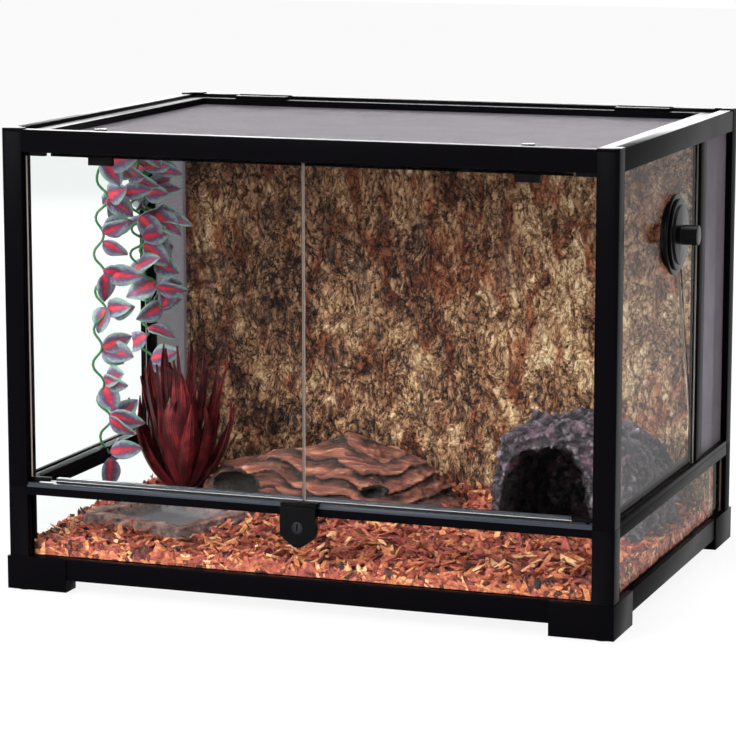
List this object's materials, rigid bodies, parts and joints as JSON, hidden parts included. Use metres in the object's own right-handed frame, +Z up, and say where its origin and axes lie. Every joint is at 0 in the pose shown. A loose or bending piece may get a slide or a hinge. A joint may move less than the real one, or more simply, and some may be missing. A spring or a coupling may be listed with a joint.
{
  "type": "reptile terrarium",
  "caption": "Glass reptile terrarium with twin front doors, screened lid, lock, side port and planted bark interior.",
  "frame": {"origin": "middle of the footprint box, lock and port knob included, at the underside of the foot pads", "axes": "+X along the width, to the right as seen from the front; -Y is the front with the doors; +Z up"},
  "size_m": [0.6206, 0.4598, 0.445],
  "materials": {
    "frame": "satin black",
    "pads": "matt",
    "glass": "clear",
    "screen": "woven wire",
    "fittings": "moulded",
    "lock_metal": "satin",
    "pin_steel": "satin",
    "bark": "pressed cork bark",
    "chips": "loose bark chips",
    "driftwood": "weathered",
    "cave_rock": "cast stone",
    "dish_rock": "cast stone",
    "plant": "moulded leaves",
    "vine": "printed leaves",
    "clear_vinyl": "clear"
  },
  "bodies": {
    "case": {"foot_front_left": "frame", "foot_front_right": "frame", "foot_rear_left": "frame", "foot_rear_right": "frame", "foot_pads": "pads", "base_rail_front": "frame", "base_rail_rear": "frame", "base_rail_left": "frame", "base_rail_right": "frame", "floor_pane": "glass", "low_glass_front": "glass", "low_glass_rear": "glass", "low_glass_left": "glass", "low_glass_right": "glass", "band_front": "frame", "band_rear": "frame", "band_left": "frame", "band_right": "frame", "sill_front": "frame", "sill_rear": "frame", "sill_left": "frame", "sill_right": "frame", "post_front_left": "frame", "post_front_right": "frame", "post_rear_left": "frame", "post_rear_right": "frame", "top_rail_front": "frame", "top_rail_rear": "frame", "top_rail_left": "frame", "top_rail_right": "frame", "corner_caps": "frame", "side_glass_left": "glass", "side_glass_right": "glass", "rear_glass": "glass", "vent_bars": "frame", "vent_screens": "screen", "lock_housing": "fittings", "cover_hinge_bases": "frame", "cover_hinge_pins": "pin_steel", "port_ring": "fittings", "bark_background": "bark", "bark_chips": "chips", "driftwood": "driftwood", "cave": "cave_rock", "dish": "dish_rock", "red_plant": "plant", "leaf_vine": "vine", "suction_cup": "clear_vinyl"},
    "left_door": {"door_glass_left": "glass", "door_shoes_left": "fittings"},
    "right_door": {"door_glass_right": "glass", "door_shoes_right": "fittings"},
    "lock_turn_part": {"lock_barrel": "lock_metal"},
    "lock_slide_part": {"lock_catch": "fittings"},
    "cover": {"cover_frame": "frame", "cover_screen": "screen", "cover_hinge_leaves": "frame"},
    "left_catch": {"catch_left": "fittings"},
    "right_catch": {"catch_right": "fittings"},
    "port_plug": {"port_cap": "fittings"}
  },
  "joints": [
    {"name": "left_door_hinge", "type": "hinge", "parent": "case", "child": "left_door", "pos_m": [-0.2817, -0.2113, 0.26], "axis": [0, 0, -1], "range_deg": [0, 100]},
    {"name": "right_door_hinge", "type": "hinge", "parent": "case", "child": "right_door", "pos_m": [0.2635, -0.2113, 0.26], "axis": [0, 0, 1], "range_deg": [0, 100]},
    {"name": "lock_turn", "type": "hinge", "parent": "case", "child": "lock_turn_part", "pos_m": [-0.0091, -0.2263, 0.085], "axis": [0, -1, 0], "range_deg": [0, 90]},
    {"name": "catch_slide", "type": "slide", "parent": "case", "child": "lock_slide_part", "axis": [0, 0, 1], "range_m": [0, 0.0044]},
    {"name": "cover_hinge", "type": "hinge", "parent": "case", "child": "cover", "pos_m": [-0.0091, 0.2157, 0.4425], "axis": [-1, 0, 0], "range_deg": [0, 100]},
    {"name": "left_catch_turn", "type": "hinge", "parent": "cover", "child": "left_catch", "pos_m": [-0.2181, -0.1953, 0.436], "axis": [0, 0, 1], "range_deg": [0, 90]},
    {"name": "right_catch_turn", "type": "hinge", "parent": "cover", "child": "right_catch", "pos_m": [0.1999, -0.1953, 0.436], "axis": [0, 0, -1], "range_deg": [0, 90]},
    {"name": "port_plug_turn", "type": "hinge", "parent": "case", "child": "port_plug", "pos_m": [0.2859, -0.0043, 0.344], "axis": [1, 0, 0], "range_deg": [0, 90]}
  ],
  "couplings": [
    {"joint": "lock_turn", "follows": "catch_slide", "rad_per_m": 356.9}
  ]
}
